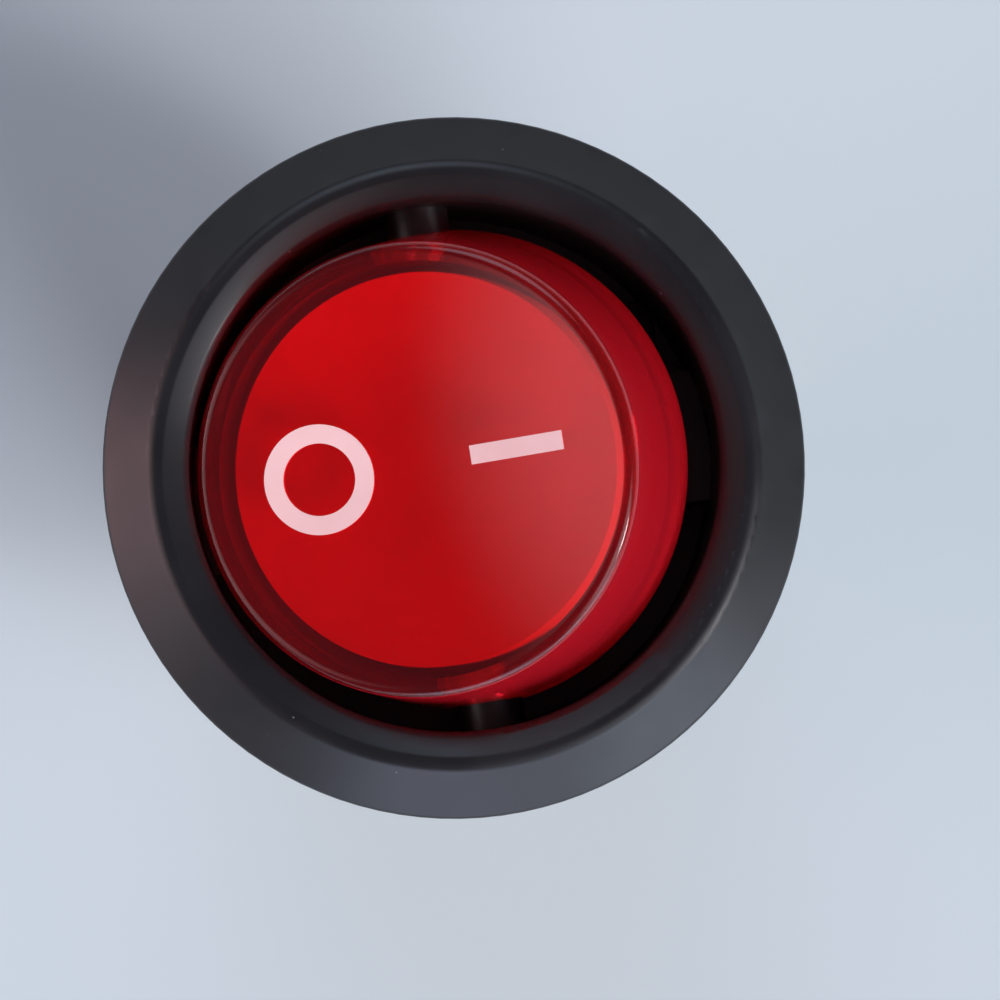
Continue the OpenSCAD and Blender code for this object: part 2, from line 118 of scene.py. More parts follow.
@dataclass
class Wiring:
    """A short hand for adding nodes to one tree and joining them.

    Args:
        tree: The node tree being built.
    """

    tree: Tree

    def add(self, kind: str, **values: object) -> Node:
        """Adds a node and sets its plain properties.

        Args:
            kind: The node's type name.
            values: Property names and their values.

        Returns:
            The new node.
        """
        node = self.tree.nodes.new(kind)
        for name, value in values.items():
            setattr(node, name, value)
        return node

    def join(self, source: Socket, target: Socket) -> None:
        """Joins an output socket to an input socket."""
        self.tree.links.new(source, target)

    def feed(self, value: object, target: Socket) -> None:
        """Joins an output socket to an input, or sets the input to a plain value.

        Args:
            value: A socket, a number or a colour.
            target: The input socket.
        """
        if isinstance(value, Socket):
            self.join(value, target)
        else:
            target.default_value = value

    def math(self, operation: str, *values: object) -> Socket:
        """Adds a Math node.

        Args:
            operation: The Math node's operation.
            values: A socket or a number for each of its inputs.

        Returns:
            The node's output socket.
        """
        node = self.add("ShaderNodeMath", operation=operation)
        for place, value in enumerate(values):
            self.feed(value, node.inputs[place])
        return node.outputs[0]

    def plus(self, left: object, right: object) -> Socket:
        """Adds two values, each a socket or a number."""
        return self.math("ADD", left, right)

    def minus(self, left: object, right: object) -> Socket:
        """Takes the right value from the left one."""
        return self.math("SUBTRACT", left, right)

    def times(self, left: object, right: object) -> Socket:
        """Multiplies two values."""
        return self.math("MULTIPLY", left, right)

    def ramp(self, source: Socket, low: float, high: float) -> Socket:
        """Spreads the stretch from low to high over 0 to 1.

        Args:
            source: The value to spread.
            low: The value that becomes 0.
            high: The value that becomes 1.

        Returns:
            The output socket.
        """
        node = self.add("ShaderNodeMapRange", interpolation_type="SMOOTHSTEP")
        self.join(source, node.inputs["Value"])
        node.inputs["From Min"].default_value = low
        node.inputs["From Max"].default_value = high
        return node.outputs["Result"]

    def blend(self, factor: object, first: object, second: object) -> Socket:
        """Mixes two colours.

        Args:
            factor: A socket or a number.
            first: A socket or a colour, shown where the factor is 0.
            second: A socket or a colour, shown where the factor is 1.

        Returns:
            The mixed colour's socket.
        """
        node = self.add("ShaderNodeMix", data_type="RGBA")
        for name, value in (("Factor_Float", factor), ("A_Color", first), ("B_Color", second)):
            self.feed(value, next(one for one in node.inputs if one.identifier == name))
        return next(one for one in node.outputs if one.identifier == "Result_Color")

    def pattern(self, kind: str, place: Socket, rate: Socket, **values: object) -> Node:
        """Adds a texture whose scale is counted per millimetre.

        Args:
            kind: The texture node's type name.
            place: Where on the piece it is read, in metres.
            rate: How often it repeats in a millimetre.
            values: Property names and their values.

        Returns:
            The texture node.
        """
        node = self.add(kind, **values)
        self.join(place, node.inputs["Vector"])
        self.join(self.times(rate, 1.0 / MM), node.inputs["Scale"])
        return node

    def noise(self, place: Socket, rate: Socket, detail: float) -> Socket:
        """Adds a noise.

        Args:
            place: Where on the piece it is read, in metres.
            rate: How often it repeats in a millimetre.
            detail: How many finer layers it has.

        Returns:
            The noise's value.
        """
        node = self.pattern("ShaderNodeTexNoise", place, rate)
        node.inputs["Detail"].default_value = detail
        return node.outputs["Fac"]


def new_group(
    name: str, inputs: dict[str, float], outputs: dict[str, str]
) -> tuple[Tree, Wiring, Node, Node]:
    """Starts a shader node group with named sockets.

    Args:
        name: The group's name.
        inputs: Input names and their default numbers.
        outputs: Output names and their socket types.

    Returns:
        The tree, its wiring, its input node and its output node.
    """
    tree = bpy.data.node_groups.new(name, "ShaderNodeTree")
    for label, value in inputs.items():
        socket = tree.interface.new_socket(label, in_out="INPUT", socket_type="NodeSocketFloat")
        socket.default_value = value
    for label, kind in outputs.items():
        tree.interface.new_socket(label, in_out="OUTPUT", socket_type=kind)
    wiring = Wiring(tree)
    return tree, wiring, wiring.add("NodeGroupInput"), wiring.add("NodeGroupOutput")


class SharedEffects:
    """Shader node groups that more than one finish uses.

    Each fade gives the values between which a mask goes from 0 to 1.
    """

    cloud_fade = (0.35, 0.68)
    speck_fade = (0.11, 0.04)
    tarnish_fade = (0.45, 0.85)
    # the share of the cells that hold no dust
    clean_cells = 0.86
    # how many finer layers each noise has
    grain_detail, cloud_detail, line_detail, tarnish_detail = 3.0, 4.0, 2.0, 5.0

    def __init__(self) -> None:
        """Builds each group once."""
        self.grain = self._grain()
        self.rolled = self._rolled()

    def _grain(self) -> Tree:
        """Builds fine moulded grain with faint cloudy patches and specks of dust.

        Returns:
            The group, which gives a height, a cloud mask and a dust mask.
        """
        tree, wiring, into, out = new_group(
            "moulded_grain",
            {"Grain per mm": 9.0, "Patch per mm": 0.35, "Dust per mm": 2.2},
            {"Height": "NodeSocketFloat", "Cloud": "NodeSocketFloat", "Dust": "NodeSocketFloat"},
        )
        place = wiring.add("ShaderNodeTexCoord").outputs["Object"]
        fine = wiring.noise(place, into.outputs["Grain per mm"], self.grain_detail)
        cloud = wiring.noise(place, into.outputs["Patch per mm"], self.cloud_detail)
        wiring.join(fine, out.inputs["Height"])
        wiring.join(wiring.ramp(cloud, *self.cloud_fade), out.inputs["Cloud"])
        dust_rate = into.outputs["Dust per mm"]
        cells = wiring.pattern("ShaderNodeTexVoronoi", place, dust_rate, feature="F1")
        speck = wiring.ramp(cells.outputs["Distance"], *self.speck_fade)
        chosen = wiring.math("GREATER_THAN", cells.outputs["Color"], self.clean_cells)
        wiring.join(wiring.times(speck, chosen), out.inputs["Dust"])
        return tree

    def _rolled(self) -> Tree:
        """Builds the drawn lines and faint tarnish of rolled sheet and wire.

        Returns:
            The group, which gives a line height and a tarnish mask.
        """
        tree, wiring, into, out = new_group(
            "rolled_lines",
            {"Lines per mm": 14.0, "Stretch": 0.06, "Tarnish per mm": 1.3},
            {"Height": "NodeSocketFloat", "Tarnish": "NodeSocketFloat"},
        )
        place = wiring.add("ShaderNodeTexCoord").outputs["Object"]
        squeeze = wiring.add("ShaderNodeMapping")
        wiring.join(place, squeeze.inputs["Vector"])
        scale = wiring.add("ShaderNodeCombineXYZ")
        for axis, share in (("X", 1.0), ("Y", 1.0), ("Z", into.outputs["Stretch"])):
            wiring.feed(share, scale.inputs[axis])
        wiring.join(scale.outputs[0], squeeze.inputs["Scale"])
        lines = wiring.noise(squeeze.outputs[0], into.outputs["Lines per mm"], self.line_detail)
        wiring.join(lines, out.inputs["Height"])
        stain = wiring.noise(place, into.outputs["Tarnish per mm"], self.tarnish_detail)
        wiring.join(wiring.ramp(stain, *self.tarnish_fade), out.inputs["Tarnish"])
        return tree


# ---------------------------------------------------------------- finishes


@dataclass(frozen=True)
class Moulded:
    """An opaque moulded plastic.

    Args:
        slot: The record's slot it belongs to.
        colour: Its colour.
        patch: Its colour in the cloudy patches.
        roughness: Its roughness.
        grain: Depth of its grain, in metres.
        dust: How strongly specks of dust show.
        edge: The radius of its moulded edges, in metres, or 0 for sharp ones.
        worn: Its colour where handling has rubbed an edge.
        dust_colour: The colour of the dust.
        cloud_roughness: How much rougher the cloudy patches are.
        least_edge: The smallest radius at which an edge is rubbed, in metres.
        edge_fade: The cosines of an edge's turn from which it is rubbed, and fully rubbed.
        rub_fade: The grain's heights from which it is rubbed, and fully rubbed.
        ior: Its index of refraction.
    """

    slot: Slot
    colour: Colour
    patch: Colour
    roughness: float
    grain: float
    dust: float = 0.0
    edge: float = 0.0
    worn: Colour = (0.03, 0.029, 0.032, 1)
    dust_colour: Colour = (0.42, 0.4, 0.38, 1)
    cloud_roughness: float = 0.06
    least_edge: float = 0.02 * MM
    edge_fade: tuple[float, float] = (0.985, 0.88)
    rub_fade: tuple[float, float] = (0.3, 0.6)
    ior: float = 1.5

    def make(self, effects: SharedEffects) -> Material:
        """Builds the material.

        Args:
            effects: The shared node groups.

        Returns:
            The material.
        """
        material, wiring, shader = fresh_material(self.slot.value)
        grain = wiring.add("ShaderNodeGroup", node_tree=effects.grain)
        cloud = grain.outputs["Cloud"]
        base = self.paint(wiring, cloud)
        dusty = wiring.times(grain.outputs["Dust"], self.dust)
        base = wiring.blend(dusty, base, self.dust_colour)
        high = wiring.ramp(grain.outputs["Height"], *self.rub_fade)
        rubbed = wiring.times(self.edges(wiring), high)
        wiring.join(wiring.blend(rubbed, base, self.worn), shader.inputs["Base Color"])
        rough = wiring.math("MULTIPLY_ADD", cloud, self.cloud_roughness, self.roughness)
        wiring.join(wiring.plus(rough, dusty), shader.inputs["Roughness"])
        shader.inputs["IOR"].default_value = self.ior
        add_bump(wiring, shader, grain.outputs["Height"], self.grain, self.edge)
        return material

    def edges(self, wiring: Wiring) -> Socket:
        """Finds the edges that handling rubs.

        Args:
            wiring: The material's wiring.

        Returns:
            A mask, 1 on the edges.
        """
        rounded = wiring.add("ShaderNodeBevel", samples=RUB_SAMPLES)
        rounded.inputs["Radius"].default_value = max(self.edge, self.least_edge)
        along = wiring.add("ShaderNodeVectorMath", operation="DOT_PRODUCT")
        wiring.join(rounded.outputs[0], along.inputs[0])
        wiring.join(wiring.add("ShaderNodeNewGeometry").outputs["Normal"], along.inputs[1])
        return wiring.ramp(along.outputs["Value"], *self.edge_fade)

    def paint(self, wiring: Wiring, cloud: Socket) -> Socket:
        """Mixes the plastic's two shades over its cloudy patches."""
        return wiring.blend(cloud, self.colour, self.patch)


@dataclass(frozen=True)
class BandedBody(Moulded):
    """A lacquered resistor body with its colour code round it.

    Args:
        bands: Each band's middle along X, in millimetres, and its colour.
        width: The bands' width, in millimetres.
        soft: How far a band's edge fades, in millimetres.
    """

    bands: tuple[tuple[float, Colour], ...] = ()
    width: float = 0.22
    soft: float = 0.02

    def paint(self, wiring: Wiring, cloud: Socket) -> Socket:
        """Lays the bands over the lacquer.

        Args:
            wiring: The material's wiring.
            cloud: The mask of the cloudy patches.

        Returns:
            The banded colour.
        """
        shade = super().paint(wiring, cloud)
        split = wiring.add("ShaderNodeSeparateXYZ")
        wiring.join(wiring.add("ShaderNodeTexCoord").outputs["Object"], split.inputs[0])
        for middle, colour in self.bands:
            away = wiring.math("ABSOLUTE", wiring.minus(split.outputs["X"], middle * MM))
            inside = wiring.ramp(away, (self.width / 2 + self.soft) * MM, (self.width / 2) * MM)
            shade = wiring.blend(inside, shade, colour)
        return shade


@dataclass(frozen=True)
class ClearPlastic:
    """A see-through plastic or glass.

    Args:
        slot: The record's slot it belongs to, or the lens's zone.
        colour: Its tint.
        lamp_tint: What is left of a lamp's light after it.
        roughness: How much it blurs.
        ior: Its index of refraction.
        ripple: Depth of its faint moulding ripple, in metres.
        clarity: The share of light that goes through it.
        ripple_rate: How many ripples it has in a millimetre.
        cloud_roughness: How much rougher the cloudy patches are.
    """

    slot: Slot | Zone
    colour: Colour
    lamp_tint: Colour
    roughness: float
    ior: float
    ripple: float
    clarity: float = 1.0
    ripple_rate: float = 0.8
    cloud_roughness: float = 0.03

    def make(self, effects: SharedEffects) -> Material:
        """Builds the material.

        Args:
            effects: The shared node groups.

        Returns:
            The material.
        """
        material, wiring, shader = fresh_material(self.slot.value)
        self.tint(wiring, shader)
        shader.inputs["Transmission Weight"].default_value = self.clarity
        shader.inputs["IOR"].default_value = self.ior
        grain = wiring.add("ShaderNodeGroup", node_tree=effects.grain)
        grain.inputs["Grain per mm"].default_value = self.ripple_rate
        cloud = grain.outputs["Cloud"]
        rough = wiring.math("MULTIPLY_ADD", cloud, self.cloud_roughness, self.roughness)
        wiring.join(rough, shader.inputs["Roughness"])
        add_bump(wiring, shader, grain.outputs["Height"], self.ripple)
        clear = wiring.add("ShaderNodeBsdfTransparent")
        clear.inputs["Color"].default_value = self.lamp_tint
        path = wiring.add("ShaderNodeLightPath")
        mix = wiring.add("ShaderNodeMixShader")
        wiring.join(path.outputs["Is Shadow Ray"], mix.inputs[0])
        wiring.join(shader.outputs[0], mix.inputs[1])
        wiring.join(clear.outputs[0], mix.inputs[2])
        output = next(node for node in material.node_tree.nodes if node.type == "OUTPUT_MATERIAL")
        wiring.join(mix.outputs[0], output.inputs["Surface"])
        return material

    def tint(self, wiring: Wiring, shader: Node) -> None:
        """Gives the shader one even tint."""
        shader.inputs["Base Color"].default_value = self.colour


@dataclass(frozen=True)
class RockerFace(ClearPlastic):
    """The rocker's clear red face, with painted shade: its tint is darker in the middle.

    Args:
        middle: Its tint in the middle, darkened as painted shade.
        full_shade_r: The radius at which the middle's tint starts to fade, in millimetres.
        no_shade_r: The radius at which it has faded, in millimetres.
    """

    # painted shade: the darker tint at the face's middle
    middle: Colour = (0.6, 0.012, 0.025, 1)
    full_shade_r: float = 0.8
    no_shade_r: float = 5.6

    def tint(self, wiring: Wiring, shader: Node) -> None:
        """Paints shade on the face by deepening its tint towards the middle.

        Args:
            wiring: The material's wiring.
            shader: The Principled shader.
        """
        place = wiring.add("ShaderNodeTexCoord")
        turn = math.radians(-TILT)
        level = wiring.add("ShaderNodeMapping", vector_type="POINT")
        level.inputs["Rotation"].default_value = (0, turn, 0)
        axle_up = Vector((0, 0, -AXLE * MM))
        level.inputs["Location"].default_value = Matrix.Rotation(turn, 3, "Y") @ axle_up
        wiring.join(place.outputs["Object"], level.inputs["Vector"])
        flat = wiring.add("ShaderNodeVectorMath", operation="MULTIPLY")
        flat.inputs[1].default_value = (1, 1, 0)
        wiring.join(level.outputs[0], flat.inputs[0])
        radius = wiring.add("ShaderNodeVectorMath", operation="LENGTH")
        wiring.join(flat.outputs[0], radius.inputs[0])
        # painted shade: the tint darkens from the rim in towards the middle
        outward = wiring.ramp(radius.outputs["Value"], self.full_shade_r * MM, self.no_shade_r * MM)
        wiring.join(wiring.blend(outward, self.middle, self.colour), shader.inputs["Base Color"])


@dataclass(frozen=True)
class SheetMetal:
    """A rolled, stamped or drawn metal.

    Args:
        slot: The record's slot it belongs to.
        colour: Its clean colour.
        tarnish: Its colour where it has dulled.
        roughness: Its roughness where clean.
        line: Depth of its drawn lines, in metres.
        dulling: How much rougher it is where it has dulled.
    """

    slot: Slot
    colour: Colour
    tarnish: Colour
    roughness: float
    line: float
    dulling: float = 0.18

    def make(self, effects: SharedEffects) -> Material:
        """Builds the material.

        Args:
            effects: The shared node groups.

        Returns:
            The material.
        """
        material, wiring, shader = fresh_material(self.slot.value)
        rolled = wiring.add("ShaderNodeGroup", node_tree=effects.rolled)
        tarnished = rolled.outputs["Tarnish"]
        wiring.join(wiring.blend(tarnished, self.colour, self.tarnish), shader.inputs["Base Color"])
        rough = wiring.math("MULTIPLY_ADD", tarnished, self.dulling, self.roughness)
        wiring.join(rough, shader.inputs["Roughness"])
        shader.inputs["Metallic"].default_value = 1.0
        add_bump(wiring, shader, rolled.outputs["Height"], self.line)
        return material


def fresh_material(name: str) -> tuple[Material, Wiring, Node]:
    """Starts a node material.

    Args:
        name: The material's name.

    Returns:
        The material, its wiring and its Principled shader.
    """
    material = bpy.data.materials.new(name + "_finish")
    material.use_nodes = True
    shader = material.node_tree.nodes["Principled BSDF"]
    return material, Wiring(material.node_tree), shader


def add_bump(
    wiring: Wiring, shader: Node, height: Socket, depth: float, edge: float = 0.0
) -> None:
    """Feeds a height to the shader's normal.

    Args:
        wiring: The material's wiring.
        shader: The Principled shader.
        height: The height, from 0 to 1.
        depth: How deep 1 is, in metres.
        edge: The radius that sharp edges are shaded with, in metres.
    """
    bump = wiring.add("ShaderNodeBump")
    bump.inputs["Distance"].default_value = depth
    bump.inputs["Strength"].default_value = 1.0
    wiring.join(height, bump.inputs["Height"])
    if edge:
        rounded = wiring.add("ShaderNodeBevel", samples=ROUND_SAMPLES)
        rounded.inputs["Radius"].default_value = edge
        wiring.join(rounded.outputs[0], bump.inputs["Normal"])
    wiring.join(bump.outputs["Normal"], shader.inputs["Normal"])


CLEAR_RED = {"colour": (0.74, 0.014, 0.03, 1), "lamp_tint": (0.8, 0.1, 0.12, 1), "ior": 1.49}

FINISHES = (
    Moulded(
        Slot.MOULDING, (0.008, 0.0074, 0.009, 1), (0.0105, 0.0098, 0.0115, 1), 0.34, 0.0016 * MM,
        dust=0.25, edge=0.07 * MM,
    ),
    Moulded(
        Slot.NYLON, (0.78, 0.77, 0.73, 1), (0.72, 0.7, 0.65, 1), 0.5, 0.001 * MM,
        worn=(0.7, 0.68, 0.63, 1),
    ),
    Moulded(
        Slot.PRINT, (0.89, 0.58, 0.58, 1), (0.85, 0.53, 0.53, 1), 0.45, 0.002 * MM,
        worn=(0.8, 0.45, 0.46, 1),
    ),
    BandedBody(
        Slot.RESISTOR, (0.56, 0.36, 0.19, 1), (0.5, 0.31, 0.16, 1), 0.35, 0.001 * MM,
        worn=(0.5, 0.31, 0.16, 1),
        bands=(
            (-1.5, (0.14, 0.04, 0.012, 1)),
            (-0.65, (0.02, 0.02, 0.02, 1)),
            (0.1, (0.75, 0.4, 0.01, 1)),
            (1.5, (0.55, 0.36, 0.08, 1)),
        ),
    ),
    # the face's tint is darker in its middle as painted shade
    RockerFace(Slot.LENS, roughness=0.09, ripple=0.001 * MM, clarity=0.94, **CLEAR_RED),
    ClearPlastic(Zone.WALL, roughness=0.09, ripple=0.001 * MM, clarity=0.68, **CLEAR_RED),
    ClearPlastic(Zone.INSIDE, roughness=0.06, ripple=0.0005 * MM, **CLEAR_RED),
    ClearPlastic(Slot.GLASS, (0.96, 0.97, 0.97, 1), (0.95, 0.95, 0.95, 1), 0.02, 1.47, 0.0005 * MM),
    SheetMetal(Slot.BRASS, (0.84, 0.57, 0.22, 1), (0.66, 0.42, 0.16, 1), 0.24, 0.0012 * MM),
    SheetMetal(Slot.COPPER, (0.86, 0.5, 0.33, 1), (0.6, 0.33, 0.2, 1), 0.26, 0.0012 * MM),
    SheetMetal(Slot.SILVER, (0.86, 0.86, 0.85, 1), (0.6, 0.58, 0.54, 1), 0.22, 0.0006 * MM),
    SheetMetal(Slot.SPRING, (0.6, 0.61, 0.63, 1), (0.45, 0.45, 0.45, 1), 0.25, 0.0005 * MM),
    SheetMetal(Slot.WIRE, (0.72, 0.72, 0.72, 1), (0.55, 0.55, 0.55, 1), 0.3, 0.0005 * MM),
)


# ---------------------------------------------------------------- mesh tools


# what counts as on the axis, and as one point, in millimetres
ON_AXIS = 1e-6
ONE_POINT = 1e-5
ROD_SIDES = 64


def show(name: str, data: bpy.types.ID) -> Piece:
    """Adds an object to the scene.

    Args:
        name: The object's name.
        data: Its mesh, lamp or camera.

    Returns:
        The object.
    """
    piece = bpy.data.objects.new(name, data)
    bpy.context.scene.collection.objects.link(piece)
    return piece


def show_shape(name: str, shape: bmesh.types.BMesh) -> Piece:
    """Turns an edited shape into a piece and frees the shape.

    Args:
        name: The piece's name.
        shape: The shape.

    Returns:
        The piece.
    """
    mesh = bpy.data.meshes.new(name)
    shape.to_mesh(mesh)
    shape.free()
    return show(name, mesh)


def bake(piece: Piece) -> None:
    """Turns what a piece's modifiers make into its plain mesh.

    Args:
        piece: The piece, which has no modifiers left afterwards.
    """
    shown = piece.evaluated_get(bpy.context.evaluated_depsgraph_get())
    result = bpy.data.meshes.new_from_object(shown)
    piece.modifiers.clear()
    old, piece.data = piece.data, result
    bpy.data.meshes.remove(old)


def arc(x: float, z: float, radius: float, start: float, end: float, steps: int) -> Profile:
    """Lays points along a circle's arc.

    Args:
        x: The centre's distance from the axis.
        z: The centre's height.
        radius: The circle's radius.
        start: The first angle, in degrees from outwards to up.
        end: The last angle.
        steps: How many steps it takes.

    Returns:
        The points, both ends among them.
    """
    turns = [math.radians(start + (end - start) * step / steps) for step in range(steps + 1)]
    return [(x + radius * math.cos(turn), z + radius * math.sin(turn)) for turn in turns]


def turned(name: str, profile: Profile, sides: int) -> Piece:
    """Turns a profile about Z into a closed mesh, in millimetres.

    Args:
        name: The piece's name.
        profile: Radius and height of each point, from the axis and back to it or round a ring.
        sides: How many flats the turn has.

    Returns:
        The piece.
    """
    shape = bmesh.new()
    rings = []
    for radius, height in profile:
        if radius < ON_AXIS:
            rings.append([shape.verts.new((0, 0, height))])
            continue
        turns = [2 * math.pi * side / sides for side in range(sides)]
        spots = [(radius * math.cos(turn), radius * math.sin(turn), height) for turn in turns]
        rings.append([shape.verts.new(spot) for spot in spots])
    ends_on_axis = len(rings[0]) == 1 and len(rings[-1]) == 1
    pairs = list(zip(rings, rings[1:] if ends_on_axis else rings[1:] + rings[:1]))
    for first, second in pairs:
        for side in range(sides):
            corners = [ring[side % len(ring)] for ring in (first, second)]
            nexts = [ring[(side + 1) % len(ring)] for ring in (second, first)]
            face = list(dict.fromkeys([corners[0], corners[1], nexts[0], nexts[1]]))
            if len(face) > 2:
                shape.faces.new(face)
    bmesh.ops.remove_doubles(shape, verts=shape.verts, dist=ONE_POINT)
    bmesh.ops.recalc_face_normals(shape, faces=shape.faces)
    return show_shape(name, shape)


def rod_along_y(radius: float, middle: float, length: float) -> Piece:
    """Makes a rod along Y through the axle's axis, for cutting.

    Args:
        radius: Its radius.
        middle: Its middle's place along Y.
        length: Its length.

    Returns:
        The rod.
    """
    half = length / 2
    rod = turned("rod", [(0, -half), (radius, -half), (radius, half), (0, half)], ROD_SIDES)
    rod.data.transform(Matrix.Translation((0, middle, 0)) @ Matrix.Rotation(math.pi / 2, 4, "X"))
    return rod


def box_mesh(low: tuple[float, float, float], high: tuple[float, float, float]) -> Piece:
    """Makes a box between two corners, for cutting.

    Args:
        low: The lowest corner.
        high: The highest corner.

    Returns:
        The box.
    """
    shape = bmesh.new()
    size = Vector(high) - Vector(low)
    spread = Matrix.Translation((Vector(low) + Vector(high)) / 2) @ Matrix.Diagonal((*size, 1))
    bmesh.ops.create_cube(shape, size=1, matrix=spread)
    return show_shape("box", shape)


def cut(piece: Piece, cutters: list[Piece]) -> None:
    """Cuts shapes out of a piece, and removes the cutters.

    Args:
        piece: The piece to cut.
        cutters: What is cut out of it.
    """
    for cutter in cutters:
        knife = piece.modifiers.new("cut", "BOOLEAN")
        knife.operation, knife.solver, knife.object = "DIFFERENCE", "EXACT", cutter
    bake(piece)
    for cutter in cutters:
        bpy.data.objects.remove(cutter)


def settle(piece: Piece, place: Matrix, sharp: float) -> None:
    """Puts a piece made in millimetres where it belongs, in metres, and smooths it.

    Args:
        piece: The piece.
        place: Its place, in millimetres.
        sharp: Edges that turn more than this stay sharp, in radians.
    """
    piece.data.transform(Matrix.Scale(MM, 4) @ place)
    piece.data.shade_smooth()
    piece.data.set_sharp_from_angle(angle=sharp)


# ---------------------------------------------------------------- coils


@dataclass(frozen=True)
class CoilSpring:
    """A wound spring with closed end turns, in millimetres from its axis.

    Args:
        coil_r: The radius of the wire's middle line.
        wire_r: The wire's radius.
        low: The height of its lower end.
        high: The height of its upper end.
        turns: How many turns it has.
        closed: How many turns lie closed at each end.
        rise: How far a closed turn rises, in wire radii.
        stiff: How much of each end keeps its length, in wire radii.
        steps: How many straight steps the wire takes.
        wire_sides: How many flats the wire has.
    """

    coil_r: float = 0.7
    wire_r: float = 0.13
    low: float = -1.58
    high: float = 1.28
    turns: float = 6.0
    closed: float = 0.9
    rise: float = 2.1
    stiff: float = 4.0
    steps: int = 180
    wire_sides: int = 12

    @property
    def springy(self) -> tuple[float, float]:
        """The heights between the spring's stiff ends."""
        return self.low + self.stiff * self.wire_r, self.high - self.stiff * self.wire_r

    def build(self, name: str, material: Material) -> Piece:
        """Winds the spring and turns it into a plain mesh.

        Args:
            name: The piece's name.
            material: Its finish.

        Returns:
            The piece, in millimetres.
        """
        piece = show(name, bpy.data.meshes.new(name))
        tree = self.tree()
        winding = piece.modifiers.new("winding", "NODES")
        winding.node_group = tree
        sizes = {
            "Coil Radius": self.coil_r,
            "Wire Radius": self.wire_r,
            "Low": self.low,
            "High": self.high,
            "Turns": self.turns,
            "Closed Turns": self.closed,
            "Finish": material,
        }
        for socket in tree.interface.items_tree:
            if socket.in_out == "INPUT" and socket.name in sizes:
                winding[socket.identifier] = sizes[socket.name]
        bake(piece)
        return piece

    def tree(self) -> Tree:
        """Builds the tree that winds a wire along a coil.

        Returns:
            The Geometry Nodes tree.
        """
        tree = bpy.data.node_groups.new("coil_spring", "GeometryNodeTree")
        for label in ("Coil Radius", "Wire Radius", "Low", "High", "Turns", "Closed Turns"):
            tree.interface.new_socket(label, in_out="INPUT", socket_type="NodeSocketFloat")
        tree.interface.new_socket("Finish", in_out="INPUT", socket_type="NodeSocketMaterial")
        tree.interface.new_socket("Geometry", in_out="OUTPUT", socket_type="NodeSocketGeometry")
        wiring = Wiring(tree)
        into, out = wiring.add("NodeGroupInput"), wiring.add("NodeGroupOutput")
        size = into.outputs
        line = wiring.add("GeometryNodeCurvePrimitiveLine")
        points = wiring.add("GeometryNodeResampleCurve")
        points.inputs["Count"].default_value = self.steps + 1
        wiring.join(line.outputs[0], points.inputs["Curve"])
        step = wiring.add("GeometryNodeInputIndex").outputs[0]
        share = wiring.math("DIVIDE", step, float(self.steps))
        turn = wiring.times(share, size["Turns"])
        angle = wiring.times(turn, 2 * math.pi)
        # closed turns rise by a little over the wire's thickness, and the open ones share the rest
        lift = wiring.times(size["Wire Radius"], self.rise)
        start = wiring.math("MINIMUM", turn, size["Closed Turns"])
        last = wiring.plus(wiring.minus(turn, size["Turns"]), size["Closed Turns"])
        ends = wiring.plus(start, wiring.math("MAXIMUM", last, 0.0))
        both = wiring.times(size["Closed Turns"], 2.0)
        open_turns = wiring.minus(size["Turns"], both)
        risen = wiring.math("DIVIDE", wiring.minus(turn, size["Closed Turns"]), open_turns)
        risen = wiring.math("MINIMUM", wiring.math("MAXIMUM", risen, 0.0), 1.0)
        whole_height = wiring.minus(size["High"], size["Low"])
        tall = wiring.minus(whole_height, wiring.times(size["Wire Radius"], 2.0))
        free = wiring.minus(tall, wiring.times(both, lift))
        climb = wiring.plus(wiring.times(lift, ends), wiring.times(free, risen))
        height = wiring.plus(wiring.plus(size["Low"], size["Wire Radius"]), climb)
        spot = wiring.add("ShaderNodeCombineXYZ")
        for axis, swing in (("X", "COSINE"), ("Y", "SINE")):
            reach = wiring.times(size["Coil Radius"], wiring.math(swing, angle))
            wiring.join(reach, spot.inputs[axis])
        wiring.join(height, spot.inputs["Z"])
        place = wiring.add("GeometryNodeSetPosition")
        wiring.join(points.outputs[0], place.inputs["Geometry"])
        wiring.join(spot.outputs[0], place.inputs["Position"])
        section = wiring.add("GeometryNodeCurvePrimitiveCircle")
        section.inputs["Resolution"].default_value = self.wire_sides
        wiring.join(size["Wire Radius"], section.inputs["Radius"])
        sweep = wiring.add("GeometryNodeCurveToMesh")
        sweep.inputs["Fill Caps"].default_value = True
        wiring.join(place.outputs[0], sweep.inputs["Curve"])
        wiring.join(section.outputs["Curve"], sweep.inputs["Profile Curve"])
        whole = wiring.add("GeometryNodeRealizeInstances")
        dressed = wiring.add("GeometryNodeSetMaterial")
        wiring.join(sweep.outputs[0], whole.inputs[0])
        wiring.join(whole.outputs[0], dressed.inputs["Geometry"])
        wiring.join(size["Finish"], dressed.inputs["Material"])
        wiring.join(dressed.outputs[0], out.inputs["Geometry"])
        return tree


# ---------------------------------------------------------------- pieces


